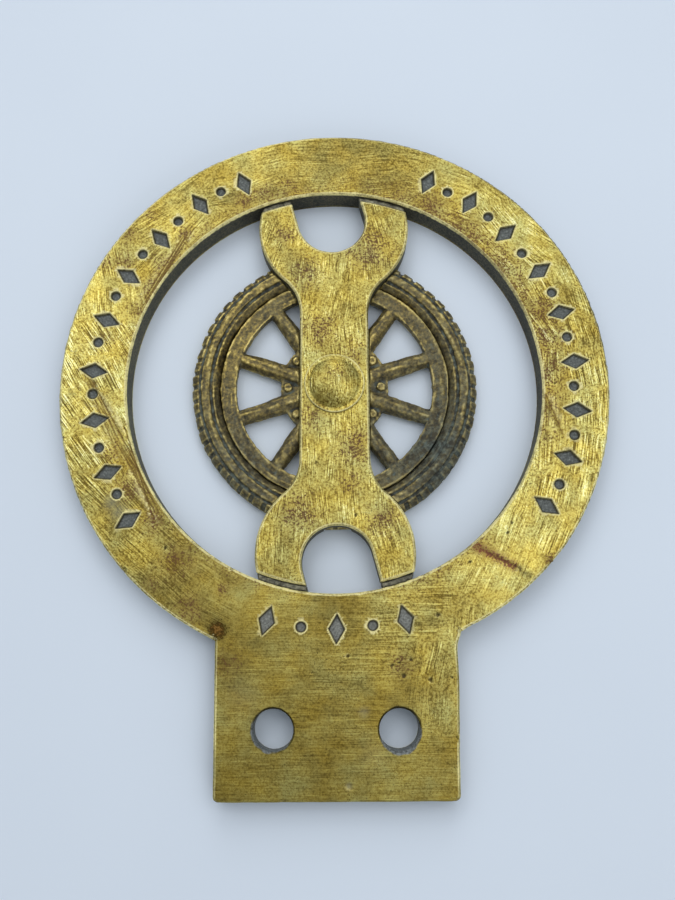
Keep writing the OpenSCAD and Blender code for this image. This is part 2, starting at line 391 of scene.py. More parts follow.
# Brown oxide gathers here, and along the edge of the opening: x, y, radius, strength
oxideSpots = [
    (-37.5, -12, 2.2, 0.45), (-34.6, -18, 2.6, 0.55), (-30.2, -23.5, 2.2, 0.55), (-18.5, -35, 0.9, 0.7),
    (-24, -38.3, 2.2, 0.55), (-26, -30.5, 3, 0.45), (17.7, 32.8, 3.4, 0.6), (23.5, 28, 3.6, 0.6),
    (29.5, 22.3, 3.6, 0.6), (36.3, 13, 3.2, 0.6), (37.2, 8, 3.2, 0.62), (37.4, 3, 2.8, 0.58),
    (36.4, -1, 2, 0.45), (36.2, -9, 2, 0.4), (23.5, -27, 2.2, 0.5), (-30.2, -34.3, 1.2, 0.5),
    (-26.5, 28.6, 1.8, 0.5), (-30.1, 22.8, 2, 0.55), (-32.6, 18, 2, 0.55), (-34.5, 13.3, 1.8, 0.5),
    (-37.4, 23, 1.8, 0.6), (-40.6, 23, 1.8, 0.5), (-36.8, 28.1, 1.4, 0.45), (-33.2, 32.1, 1.6, 0.45),
    (-16, 34.4, 2.2, 0.55), (-12.6, 36, 2.2, 0.5), (-7.9, 37.5, 1.8, 0.4), (12.1, 35, 2, 0.5),
    (10.5, -47.5, 1.8, 0.45), (-17.5, -47, 2.4, 0.35), (35.6, -30.4, 0.9, 0.8), (-40, 8, 2.4, 0.3),
    (6, 25, 4, 0.55), (-5, 20.5, 3, 0.45), (-2.5, 10, 3, 0.5), (3.5, -11, 3, 0.55),
    (-6, -22.5, 3.2, 0.55), (8, -24, 2.6, 0.5), (-8.5, 28, 2, 0.5), (2.5, -17.5, 2, 0.4),
    (0.5, 1.5, 1.6, 0.3), (4, 6, 2.5, 0.35), (-4, -6, 2.5, 0.35),
]
oxideArcs = [  # degrees round the opening, half spread, strength, reach from the edge in mm
    (40, 42, 0.55, 4.2), (5, 22, 0.58, 3.6), (145, 28, 0.4, 2.4), (214, 20, 0.25, 1.6), (108, 16, 0.45, 2.2),
    (-62, 16, 0.35, 1.8), (-118, 14, 0.35, 1.8),
]
# A red streak with grime at its end: start, end, half width, strength
redStreaks = [((23.4, -28.4), (29.4, -31.6), 0.7, 1)]
grimeStreaks = [((29.9, -31.9), (32.2, -33.3), 0.5, 0.95)]
rustSpots = [(-19.3, -41.7, 1.5, 1)]

# Strips painted brighter: partly rubbed clean where a file or a cloth passed last, partly painted highlights
# where a ridge, facet or rounded shoulder catches the light: start, end, half width, strength
sheenStrips = [
    ((-37.2, 3), (-35.8, -6), 1.3, 0.9), ((-35.8, -6), (-32.8, -14.5), 0.9, 1),
    ((-32.8, -14.5), (-28.3, -22.3), 0.6, 1), ((-45.6, 14), (-46.6, -3), 0.8, 0.5),
    ((-46.4, -4), (-42, -20.5), 0.5, 0.6), ((37.4, -5.5), (36.6, -15), 1, 0.6),
    ((45, -10), (40, -24), 0.8, 0.5), ((28, -37.5), (22, -41.5), 0.8, 0.6),
    ((18.6, -41.5), (18.7, -54), 0.9, 0.35), ((-30, 26.8), (-25.5, 31.5), 0.5, 0.6),
    ((25, -35.5), (36, -24), 4.5, 0.4), ((26, 35), (41, 18), 3.5, 0.55),
    ((15.6, -43.5), (17.6, -54), 0.5, 0.3), ((17, -42), (18.4, -50), 0.5, 0.45),
    ((14.6, -44.5), (15.6, -50), 0.4, 0.5), ((32.4, -31), (37.6, -24.5), 1.6, 0.85),
    ((43.2, -11.5), (41.8, -16), 1, 0.75),
]

# Dull films, green-brown tarnish and grey smears of old polish: x, y, radius, strength
tarnishSpots = [
    (-29, -35, 11, 0.85), (-37.5, -27, 7, 0.6), (0, 43.5, 13, 0.95), (-20, 38, 9, 0.5),
    (10, 42, 9, 0.95), (0, -60, 17, 0.56), (-13, -47, 12, 0.6), (12, -52, 12, 0.6),
    (-14, -64, 10, 0.52), (14, -64, 10, 0.55), (0, -42, 12, 0.9), (-42.7, -15.9, 1.4, 0.7),
    (42, 6, 10, 0.5), (17.5, -37, 5, 0.7), (0, -49, 9, 0.92), (18, -61, 6, 0.8),
    (-19.5, -41, 3.6, 0.9), (-18, -46.5, 2.2, 0.95), (-17.6, -50, 1.8, 0.8), (17.5, -49, 5, 0.85),
    (-35.5, -14.5, 2.6, 0.6), (-31.8, -21.5, 3.2, 0.8), (-27.6, -26.6, 3, 0.85), (-18, -33.8, 3, 0.75),
    (-35.3, -27.6, 2.5, 0.8), (-25.1, -37.1, 3, 1), (-21, -39.6, 2.5, 1),
]
filmSpots = [
    (-37.4, -20.6, 1.2, 0.9), (-36.2, -22.2, 1.2, 0.9), (4.4, -54.6, 0.8, 0.6), (1.9, -65.8, 0.5, 0.9),
    (-15, -52, 2.5, 0.2), (6, -61, 2, 0.2),
]

# The way the file went: x, y in mm from the ring's centre, degrees from +X, how far the hand strayed and
# how much of it still shows
filing = {
    "seed": 17,
    "crossSeed": 26,
    "crossStray": 2.2,  # how much wilder the scratches run that cross the strokes
    "plateKeys": [
        (-42, 6, -57, 2, 1.6), (-42, -10, -55, 2, 1.6), (-37, -24, -44, 3, 0.8), (-27, -35, -36, 5, 0.5),
        (-38, 18, -82, 6, 0.8), (-30, 30, 42, 8, 0.7), (-18, 39, 18, 8, 0.55), (0, 43, 3, 5, 0.45),
        (18, 39, -16, 8, 0.55), (31, 29, -44, 8, 1.0), (40, 15, -72, 8, 1.1), (43, 2, 92, 4, 1.2),
        (42, -12, 82, 4, 1.3), (36, -24, 70, 3, 0.9), (27, -36, 62, 3, 0.6), (-21, -36, -30, 4, 0.35),
        (-14, -40, 0, 0, 0.25), (0, -40, 0, 0, 0.25), (12, -40, 0, 0, 0.6), (17, -36, 0, 0, 0.6),
        (-12, -54, 0, 0, 0.25), (10, -54, 0, 0, 0.25), (0, -64, 0, 0, 0.25), (-14, -65, 0, 0, 0.25),
        (17.5, -46, 80, 3, 0.75), (18, -53, 86, 3, 0.5), (17, -65, 0, 0, 0.25),
    ],
    "barKeys": [
        (-8, 30, 70, 6, 1), (8, 30, 100, 6, 1), (0, 18, 84, 4, 1), (0, 0, 90, 4, 1), (0, -18, 93, 4, 1),
        (-8, -30, 80, 6, 1), (8, -30, 104, 6, 1),
    ],
    "patch": 7,  # mm between the middles of two patches
    "wander": 0.7,  # how far the border between two patches strays, mm
    "wanderWave": (2, 7),
    "meet": (0.3, 1.2),  # strokes fade out this close to another patch
    "mostShow": 1.7,  # painted values are shares of this
    "batch": 20000,  # points worked at a time, to spare memory
}


def filedWay(points, seed, stray, keys):
    # every patch of the face was filed one way, near the way of its neighbours; 0 to 1 is half a turn
    draw = np.random.default_rng(seed)
    keys = np.array(keys, dtype=float)
    across = np.arange(-ringR, ringR, filing["patch"])
    upward = np.arange(points[:, 1].min(), points[:, 1].max() + filing["patch"], filing["patch"])
    middles = np.array([(x, y) for x in across for y in upward])
    middles += draw.normal(size=middles.shape)
    nearest = np.linalg.norm(middles[:, None] - keys[None, :, :2], axis=2).argmin(1)
    weights = 1 / (np.linalg.norm(points[:, None, :2] - keys[None, :, :2], axis=2) + 1) ** 3
    show = weights @ keys[:, 4] / weights.sum(1)
    ways = keys[nearest, 2] + draw.normal(size=len(middles)) * keys[nearest, 3] * stray
    wander = [ripple(points[:, :2], seed + 1 + axis, *filing["wanderWave"]) for axis in (0, 1)]
    here = points[:, :2] + filing["wander"] * np.stack(wander, 1)
    way = np.empty(len(points))
    crisp = np.empty(len(points))
    for part in np.array_split(np.arange(len(points)), 1 + len(points) // filing["batch"]):
        gaps = ((here[part, None] - middles[None]) ** 2).sum(2)
        row = np.arange(len(part))
        first = gaps.argmin(1)
        nearGap = gaps[row, first]
        gaps[row, first] = np.inf
        second = gaps.argmin(1)
        apart = np.linalg.norm(middles[first] - middles[second], axis=1)
        fromNext = (gaps[row, second] - nearGap) / (2 * apart)
        sameWay = abs(ways[first] - ways[second]) < 0.5
        way[part] = ways[first]
        crisp[part] = np.where(sameWay, 1, smoothStep(*filing["meet"], fromNext))
    return np.mod(way, 180) / 180, crisp * show / filing["mostShow"], show


# What filing, knocks and cleaning leave on a plate, in mm; a wave is its shortest and longest length
wear = {
    "handSeed": 3,
    "handWave": (9, 26),  # slow waves of filing by hand
    "floorSeed": 8,
    "floorWave": (0.6, 1.8),  # in the floors of the punch marks
    "floorRough": 0.05,
    "sideWave": (2, 9),  # in the sawn sides
    "sideRough": 0.03,
    "chipWave": (1.2, 4),
    "chipCrest": (1.25, 1.9),  # only the highest crests of that wave break off an edge
    "pitWave": (0.5, 1.4),
    "oxideSeed": 23,
    "oxideWave": (1.2, 5),
    "ragged": 0.35,  # how far pits and oxide stray from round
    "ridge": (0.012, 0.04),  # a ridge starts to be rubbed, and is rubbed clean; the rubbed ridges also carry a painted highlight
    "clothWave": (5, 20),  # the cloth missed some stretches
    "clothLeast": 0.45,
    "bundleLeast": 0.3,  # and reached little inside a bundle of deep strokes
    "fromHole": (0.5, 1.5),  # nothing is rubbed this close to a hole
    "fromBottom": (0.4, 1),  # or to the tab's lower edge
    "lee": 45,  # degrees from +X: at the upper right the outer edge gets a band of painted shade and the bevel's painted highlight is weakest,
    "outerLee": 45,  # this far to either side along the outer edge
    "outerBand": (0.45, 0.2),  # mm in from that edge, where the band of painted shade starts and is full
    "innerLee": 32,  # and along the bevel round the opening
    "innerLess": 0.55,
    "bevelWave": (0.8, 3),
    "grimeWave": (0.5, 1.5),
    "gleamWave": (1, 4),
}


def oxideField(points):
    x, y = points[:, :2].T
    angle = np.degrees(np.arctan2(y, x))
    inset = np.hypot(x, y) - openingR
    rim = np.zeros(len(points))
    for turn, half, strength, reach in oxideArcs:
        off = np.abs((angle - turn + 180) % 360 - 180)
        here = strength * fade(off, half) * fade(np.maximum(inset, 0), reach)
        rim = np.maximum(rim, here * (inset > -0.5))
    ragged = 1 + wear["ragged"] * ripple(points[:, :2], wear["oxideSeed"], *wear["oxideWave"], 40)
    return np.maximum(rim, spread(points, oxideSpots)) * np.clip(ragged, 0.3, 1.6)


def dentShare(points, dents, ragged):
    # how far down each point lies in a dent, 0 to 1, and the depth in mm
    share = np.zeros(len(points))
    deep = np.zeros(len(points))
    for x, y, radius, depth in dents:
        gap = np.linalg.norm(points - (x, y, plateT), axis=1) * (1 + wear["ragged"] * ragged)
        here = 1 - smoothStep(0.2 * radius, radius, gap)
        share = np.maximum(share, here)
        deep = np.maximum(deep, depth * here)
    return share, deep


mouths = {  # of the fixing holes
    "band": 0.8,  # mm to either side of a hole's wall
    "wave": (0.8, 3),
    "chip": 0.3,  # painted shade reaches this far above a hole
    "chipRagged": 0.12,
    "dirt": (0.15, 0.45),  # grey dirt hangs this far below the left and the right hole
    "dirtOut": 0.1,
    "dirtRagged": 0.15,
}


def holeMouths(points, side, seed):
    # distance from a hole's wall, painted shade above it, and grey dirt in its bore and on its lower lip
    x, y, z = points.T
    off = abs(x) - holeX
    up = y + ringY
    fromWall = np.hypot(off, up) - holeR
    # painted shade: a dark ragged crescent above each hole, where its upper lip lies in shade
    chip = np.hypot(off, up - mouths["chip"]) - holeR
    chip += mouths["chipRagged"] * ripple(points, seed + 6, *mouths["wave"])
    nearFront = (abs(fromWall) < mouths["band"]) & (z > plateT - 1)
    chip = (1 - smoothStep(-0.1, 0.1, chip)) * nearFront * (up > 0)
    left, right = mouths["dirt"]
    hang = np.where(x < 0, left, right)
    dirt = np.hypot(off - mouths["dirtOut"], up + hang) - holeR - mouths["dirtOut"]
    dirt += mouths["dirtRagged"] * ripple(points, seed + 3, *mouths["wave"])
    dirt = (1 - smoothStep(-0.1, 0.15, dirt)) * (z > plateT / 2)
    bore = side * (1 - smoothStep(0.3, 0.6, abs(fromWall)))
    return fromWall, chip, np.maximum(bore, dirt)


def edgeWearAndSheen(points, ridge, fromHole, seed):
    # how clean the ridges are rubbed, with a painted highlight on them, the painted highlight on the bevel
    # round the opening, and the band of painted shade along the outer edge
    x, y, z = points.T
    angle = np.degrees(np.arctan2(y, x))
    radius = np.hypot(x, y)
    front = z > plateT / 2
    # painted shade: a dull dark band along the outer edge, strongest at the upper right
    outer, inner = wear["outerBand"]
    outerShade = smoothStep(ringR - outer, ringR - inner, radius) * front
    outerShade *= fade(angle - wear["lee"], wear["outerLee"], 4)
    cloth = smoothStep(-0.7, 0.4, ripple(points, seed + 4, *wear["clothWave"]))
    # ridges rubbed bright; their brightness is partly a painted highlight
    rubbedSheen = smoothStep(*wear["ridge"], ridge) * front * (1 - outerShade)
    rubbedSheen *= wear["clothLeast"] + (1 - wear["clothLeast"]) * cloth
    rubbedSheen *= smoothStep(*wear["fromHole"], fromHole)
    rubbedSheen *= smoothStep(*wear["fromBottom"], y - tabBottom)
    inset = radius - openingR
    # painted highlight: the bevel round the opening is painted bright, weaker at the upper right
    bevel = (inset > -0.05) & (inset < edgeBreak + 0.05) & (z > plateT - edgeBreak - 0.08)
    bevelSheen = 0.5 + 0.5 * smoothStep(-0.6, 0.3, ripple(points, seed + 7, *wear["bevelWave"]))
    bevelSheen *= 1 - wear["innerLess"] * fade(angle - wear["lee"], wear["innerLee"], 4)
    return rubbedSheen, bevel * bevelSheen, outerShade


# Plates share their face marks, so the marks run on across joints
def workPlate(piece, seed, wave, nick, keys):
    points, normals = readPoints(piece)
    facing = smoothStep(0.55, 0.9, normals[:, 2]) * (points[:, 2] > plateT / 2)
    side = 1 - smoothStep(0.15, 0.45, abs(normals[:, 2]))
    outside, depth = fromPunch(points)
    inside = 1 - smoothStep(-border["wall"], border["wall"], outside)
    lip = fade(outside - border["lipWidth"], border["lipWidth"]) * (outside > 0)
    hollow, strokes = strokeDepth(points)
    lowered = inside * depth + hollow + strokes - border["lip"] * lip
    lowered += wave * ripple(points[:, :2], wear["handSeed"], *wear["handWave"])
    lowered += wear["floorRough"] * inside * ripple(points[:, :2], wear["floorSeed"], *wear["floorWave"])
    points[:, 2] -= lowered * facing
    chips = nick * smoothStep(*wear["chipCrest"], ripple(points, seed + 1, *wear["chipWave"]))
    sawn = wear["sideRough"] * ripple(points, seed, *wear["sideWave"])
    inward = (sawn + chips) * np.maximum(side, 1 - facing) * smoothStep(-0.2, 0.2, normals[:, 2])
    ragged = ripple(points, seed + 2, *wear["pitWave"])
    pit, pitDepth = dentShare(points, pits, ragged)
    inward += pitDepth + dentShare(points, knocks, ragged)[1]
    points -= normals * inward[:, None]
    writePoints(piece, points)

    # marks for the material
    points, normals = readPoints(piece)
    ridge = bulge(piece, points, normals, 6)
    fromHole, chip, bore = holeMouths(points, side, seed)
    rubbedSheen, bevel, outerShade = edgeWearAndSheen(points, ridge, fromHole, seed)
    streak = strips(points, redStreaks)
    inBundle = np.minimum(hollow / deepStrokes["fullHollow"], 1)
    rubbedSheen *= (1 - pit) * (1 - streak ** 0.3) * (1 - (1 - wear["bundleLeast"]) * inBundle)
    # painted shade: the punch marks' walls are darkened where shade falls in them
    wall = fade(outside + 0.02, 1.1 * border["wall"]) * facing
    grime = smoothStep(-0.7, 0.3, ripple(points, seed + 8, *wear["grimeWave"]))
    marks = {
        "stamp": inside * facing,
        # the wall colour: painted shade in the punch marks and above the holes, and grime at the red
        # streak's end
        "wall": np.maximum.reduce([wall, chip, grime * strips(points, grimeStreaks)]),
        "edge": np.maximum(rubbedSheen, bevel),
        # the sides, and the band of painted shade along the outer edge in their dark colour
        "side": np.maximum(side, 0.6 * outerShade),
        "bore": bore,
        # painted highlight strips, partly rubbed clean metal
        "gleam": strips(points, sheenStrips) * (0.8 + 0.3 * ripple(points, seed + 5, *wear["gleamWave"])),
        "oxide": oxideField(points),
        "streak": streak,
        "tarnish": spread(points, tarnishSpots),
        "film": spread(points, filmSpots) * facing,
        "pit": smoothStep(0.25, 0.75, pit),
        # painted shade in the grooves of the deep strokes, which also gather oxide
        "score": smoothStep(0.2, 0.8, strokes / deepStrokes["depth"][1]),
        "rust": spread(points, rustSpots),
    }
    crossing = (filing["crossSeed"], filing["crossStray"])
    for name, (waySeed, stray) in (("way", (filing["seed"], 1)), ("crossWay", crossing)):
        marks[name], crisp, show = filedWay(points, waySeed, stray, keys)
        marks[name + "Crisp"] = crisp * (1 - 0.6 * inBundle)
    # grain shows more where the strokes do, and less inside a bundle of deep ones
    grain = 0.37 + 0.3 * smoothStep(0.25, 0.6, show) + 0.08 * smoothStep(0.6, 1.4, show)
    marks["grain"] = grain * (1 - 0.4 * inBundle)
    for name, values in marks.items():
        paint(piece, name, values)
    return piece


def placed(piece, slot, material, *nodes):
    piece.data.materials.clear()
    piece.data.materials.append(material)
    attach(piece, "root")
    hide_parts(*nodes)
    print(piece.name, len(piece.data.polygons), "faces")
    return piece


# Hand-filed sheet brass: short file strokes in patches catch the light, their glints partly painted into the
# colour;
# brown oxide keeps to the low grain, edges are rubbed bright with a painted highlight, the punch marks hold
# grey dirt and painted shade, and the sides are painted dark as shade
def filedBrass(name, look):
    material, add, place = startMaterial(name)
    marks = {}
    for mark in ("stamp", "wall", "edge", "side", "bore", "gleam", "oxide", "streak", "tarnish", "film",
                 "pit", "score", "rust", "grain", "way", "wayCrisp", "crossWay", "crossWayCrisp"):
        marks[mark] = add("Attribute", {"attribute_name": mark}).outputs["Fac"]
    noises = []
    for kind, detail, rough in (("tone", 4, 0.6), ("mottle", 2, 0.6), ("speck", 2, 0.6), ("cast", 3, 0.5)):
        scale = perMm / look[kind + "Mm"]
        noise = add("TexNoise", {"Scale": scale, "Detail": detail, "Roughness": rough}, {"Vector": place})
        noises.append(noise)
    tone, mottle, speck, cast = noises

    # file strokes follow the painted way, scratches cross them
    grooves = None
    for way, (length, width), share in look["grooves"]:
        angle = add("Math", {"operation": "MULTIPLY", 1: -math.pi}, {0: marks[way]})
        turned = add("VectorRotate", {"rotation_type": "Z_AXIS"}, {"Vector": place, "Angle": angle})
        space = add("Mapping", {"vector_type": "TEXTURE", "Scale": (length * mm, width * mm, width * mm)},
                    {"Vector": turned})
        stroke = add("TexNoise", {"Scale": 1, "Detail": 1}, {"Vector": space})
        share *= filing["mostShow"]
        stroke = add("Math", {"operation": "MULTIPLY_ADD", 1: share, 2: -share / 2}, {0: stroke})
        sources = {0: stroke, 1: marks[way + "Crisp"]}
        if grooves:
            sources[2] = grooves
        grooves = add("Math", {"operation": "MULTIPLY_ADD", 2: 0}, sources)

    # clean metal from dull to bright, by the sum of all the grooves and films; the strokes and grain in it
    # are partly painted glints, and the films include painted shade in the deep strokes and painted sheen
    # strips
    level = look["level"] - 0.5 * look["toneShow"]
    bright = add("Math", {"operation": "ADD", 1: level}, {0: grooves})
    share = look["mottleShow"]
    grain = add("Math", {"operation": "MULTIPLY_ADD", 1: share, 2: -share / 2}, {0: mottle})
    bright = add("Math", {"operation": "MULTIPLY_ADD"}, {0: grain, 1: marks["grain"], 2: bright})
    films = (
        (tone, look["toneShow"]), (marks["tarnish"], -look["tarnishShow"]),
        (marks["score"], -look["scoreShow"]), (marks["oxide"], -look["oxideDull"]),
        (marks["gleam"], look["gleamShow"]),
    )
    for source, share in films:
        bright = add("Math", {"operation": "MULTIPLY_ADD", 1: share}, {0: source, 2: bright})
    metal = add("ValToRGB", {"stops": look["metal"]}, {"Fac": bright})
    cast = add("ValToRGB", {"stops": look["cast"]}, {"Fac": cast})
    colour = add("MixRGB", {"blend_type": "MULTIPLY", "Fac": 1}, {"Color1": metal, "Color2": cast})

    # oxide: thick where it gathers, thinning out to separate specks
    low = add("Math", {"operation": "MULTIPLY_ADD", 1: look["speckShow"]}, {0: speck, 2: mottle})
    low = add("MapRange", {"From": look["lowGrain"]}, {"Value": low})
    gathered = add("Math", {"operation": "MULTIPLY_ADD", 1: look["gather"]}, {0: marks["oxide"], 2: low})
    thick = add("MapRange", {"From": look["oxideFrom"], "To": (0, look["oxideShow"])}, {"Value": gathered})
    for mark, share in (("oxide", look["stain"]), ("score", look["scoreStain"])):
        stained = add("Math", {"operation": "MULTIPLY", 1: share}, {0: marks[mark]})
        thick = add("Math", {"operation": "MAXIMUM"}, {0: thick, 1: stained})
    brown = add("MixRGB", {}, {"Fac": tone, "Color1": look["oxide"], "Color2": look["redOxide"]})

    # the red streak and the rust spot are ragged with the grain
    slope, base = look["streakRagged"]
    streaked = add("Math", {"operation": "MULTIPLY_ADD", 1: slope, 2: base}, {0: mottle})
    streaked = add("Math", {"operation": "MULTIPLY", "use_clamp": True}, {0: marks["streak"], 1: streaked})
    slope, base = look["rustRagged"]
    ragged = add("Math", {"operation": "MULTIPLY_ADD", 1: slope, 2: base}, {0: mottle})
    ragged = add("Math", {"operation": "ADD"}, {0: marks["rust"], 1: ragged})
    bloom = add("MapRange", {"From": look["rustEdge"], "To": (0, look["rustShow"])}, {"Value": ragged})
    rusted = add("ValToRGB", {"stops": look["rust"]}, {"Fac": ragged})

    # pits and fine black specks, dull sawn sides painted dark as shade, bright rubbed edges with a painted
    # highlight, grey dirt in bores and punch marks, painted shade on the punch walls
    shown = {}
    for mark in ("film", "pit", "side", "wall"):
        shown[mark] = add("Math", {"operation": "MULTIPLY", 1: look[mark + "Show"]}, {0: marks[mark]})
    dot = add("Math", {"operation": "MULTIPLY_ADD", 1: look["dotTone"]}, {0: tone, 2: speck})
    dot = add("MapRange", {"From": look["dot"], "To": (0, look["dotShow"])}, {"Value": dot})
    dark = add("Math", {"operation": "MAXIMUM"}, {0: shown["pit"], 1: dot})
    # the sides' colour: dull sawn metal, painted dark grey as shade on the walls
    sawn = add("Math", {"operation": "MULTIPLY_ADD", 1: look["sideTone"]}, {0: tone, 2: mottle})
    sawn = add("ValToRGB", {"stops": look["side"]}, {"Fac": sawn})
    bored = add("ValToRGB", {"stops": look["bore"]}, {"Fac": mottle})
    dirt = add("ValToRGB", {"stops": look["dirt"]}, {"Fac": mottle})
    rubbedSheen = add("Math", {"operation": "MULTIPLY"}, {0: marks["edge"], 1: mottle})
    rubbedSheen = add("Math", {"operation": "MULTIPLY", "use_clamp": True, 1: look["edgeBright"]}, {0: rubbedSheen})

    # each coat lies over the ones before it
    coats = (
        (thick, brown), (streaked, look["streak"]), (bloom, rusted), (shown["film"], look["film"]),
        (dark, look["pit"]), (shown["side"], sawn), (marks["bore"], bored), (rubbedSheen, look["edge"]),
        (marks["stamp"], dirt), (shown["wall"], look["wall"]),
    )
    for share, coat in coats:
        colour = add("MixRGB", {}, {"Fac": share, "Color1": colour, "Color2": coat})

    # gloss: oxide, sides, dirt and scuffed edges are duller than the worked face; lower metal keeps the
    # edges' painted highlight pale
    matt = add("Math", {"operation": "MULTIPLY", 1: look["edgeMatt"]}, {0: rubbedSheen})
    for share in (thick, marks["stamp"], shown["side"], marks["bore"], shown["film"]):
        matt = add("Math", {"operation": "MAXIMUM"}, {0: matt, 1: share})
    rough = add("MapRange", {"To": look["rough"]}, {"Value": matt})
    rough = add("Math", {"operation": "MULTIPLY_ADD", 1: look["roughGrain"]}, {0: mottle, 2: rough})
    pure = add("MapRange", {"To": look["pure"]}, {"Value": matt})

    # relief of strokes, grain and pits
    height = add("Math", {"operation": "MULTIPLY_ADD", 1: look["grainHeight"]}, {0: mottle, 2: grooves})
    height = add("Math", {"operation": "SUBTRACT"}, {0: height, 1: dark})
    bump = add("Bump", {"Strength": look["bump"], "Distance": look["bumpMm"] * mm}, {"Height": height})
    brass = add("BsdfPrincipled", {},
                {"Base Color": colour, "Metallic": pure, "Roughness": rough, "Normal": bump})
    add("OutputMaterial", {}, {"Surface": brass})
    return material


ringLook = {
    # metal runs from dull to bright; the strokes and grain move along it as partly painted glints
    "metal": [(0.0, "#66592b"), (0.3, "#9b8c49"), (0.55, "#c0b467"), (0.8, "#e0d985"), (1.0, "#f9f5ba")],
    "cast": [(0.34, "#fff5d4"), (0.5, "#fbf8ee"), (0.66, "#f1f6ff")],  # warm to cool
    "dirt": [(0.3, "#525653"), (0.55, "#6e7371"), (0.75, "#919793")],
    # side: dark grey of the walls, partly painted shade
    "side": [(0.55, "#30332f"), (0.75, "#434640"), (0.95, "#666250")],
    "bore": [(0.35, "#5a5e5b"), (0.65, "#959b9a")],
    "rust": [(0.3, "#3f3316"), (0.65, "#3c2a10"), (0.88, "#5c401c"), (1.0, "#7f5b2c")],
    "oxide": "#74512a", "redOxide": "#643d27", "streak": "#6e4631",
    # wall is the colour of the painted shade in the punch marks and above the holes, and of the grime
    "pit": "#3c3220", "film": "#8b8a70", "edge": "#fbf1ae", "wall": "#2f2c20",
    # painted way, length and width in mm, how strongly it shows; real file lines are under 0.1 mm wide,
    # and these are drawn coarser so that they show, as are the grain (mottle) and the specks
    "grooves": [("way", (7, 0.9), 0.7), ("way", (5, 0.21), 1.75), ("crossWay", (2.4, 0.18), 0.9)],
    "toneMm": 8, "castMm": 5, "mottleMm": 0.36, "speckMm": 0.22,
    "level": 0.43, "toneShow": 0.8, "mottleShow": 2.25, "tarnishShow": 0.26, "gleamShow": 0.24,
    # how dark the deep strokes are painted as shade, and how much oxide stains them
    "scoreShow": 0.3, "scoreStain": 0.5, "stain": 0.42,
    "speckShow": 0.45, "lowGrain": (0.9, 0.56),  # oxide keeps to the low grain
    "gather": 1.0, "oxideFrom": (0.98, 1.26), "oxideShow": 0.82, "oxideDull": 0.05,
    "streakRagged": (9.68, -3.74), "rustRagged": (1.8, -0.9), "rustEdge": (0.2, 0.5), "rustShow": 0.9,
    "dot": (0.83, 0.88), "dotTone": 0.35, "dotShow": 0.75,
    "filmShow": 0.7, "pitShow": 0.85, "sideShow": 0.92, "sideTone": 0.5, "wallShow": 0.8,
    # rubbed edges are painted up to twice as bright, partly a painted highlight, and made less metallic so
    # that it stays pale
    "edgeBright": 2.0, "edgeMatt": 0.95,
    # roughness, and how metallic: of the worked face, and where it is matt
    "rough": (0.27, 0.66), "pure": (1, 0.4), "roughGrain": 0.15,
    "bump": 0.4, "bumpMm": 0.05, "grainHeight": 0.5,
}
tabLook = dict(ringLook, dirt=[(0.3, "#62645f"), (0.55, "#8a8c86"), (0.75, "#a5a8a2")])
barLook = dict(
    ringLook, toneMm=4, oxide="#6d5033", level=0.42, gather=1.15,
    grooves=[("way", (4, 0.17), 1.2), ("way", (2, 0.13), 1.2), ("crossWay", (2.5, 0.15), 0.6)],
)

# The plate is worked whole and then cut along its brazed seams, so no step shows at a filed joint
plate = {
    "cell": 0.6,
    "edgeBand": 0.9,  # the mesh is finer this close to an edge, and finer again near the front
    "frontBand": 0.5,
    "frontDepth": 0.6,
    "holeBand": 0.9,
    "pitBand": 0.3,
    "frontSnap": 0.11,  # points this close to a crease move on to it
    "backSnap": 0.35,
    "weld": 0.03,
    "seed": 40,
    "wave": 0.02,  # height of the slow waves that filing left
    "nick": 0.06,  # depth of the chips along the edges
    "lean": (0.2, 0.5),  # mm, at the left and the right of the neck
    "shoulder": 0.9,  # the ring is filed down this far at the right of the neck
    "shoulderEnd": -35,  # and less and less up to here, degrees from +X
    "shoulderReach": 4,
    "flare": (0.8, 0.4),  # the file left the corner round
    "flareReach": 1.2,
    "pieces": {
        "filed_ring": {"node": "ring", "slot": "filed_brass", "made": ("hand_filed_brass", ringLook)},
        "brushed_tab": {"node": "mounting_tab", "slot": "brushed_brass", "made": ("brushed_brass", tabLook)},
        "filed_left_seam": {"node": "left_braze_seam", "slot": "braze", "made": ("filed_braze", ringLook)},
        "filed_right_seam": {"node": "right_braze_seam", "slot": "braze", "made": ("filed_braze", ringLook)},
    },
}


def middle(low, high):
    return (Vector(low) + Vector(high)) / 2


def seamSides(node):
    # the two straight sides of a seam in plan: a point on each, and the way square to both
    flat = (nodePoints(node) - fromCentre)[:, :2]
    turns = np.radians(np.linspace(-40, 40, 1601))
    square = np.stack([np.cos(turns), np.sin(turns)])
    offsets = flat @ square
    best = np.ptp(offsets, axis=0).argmin()
    way = square[:, best]
    return [(way * side, way) for side in (offsets[:, best].min(), offsets[:, best].max())]


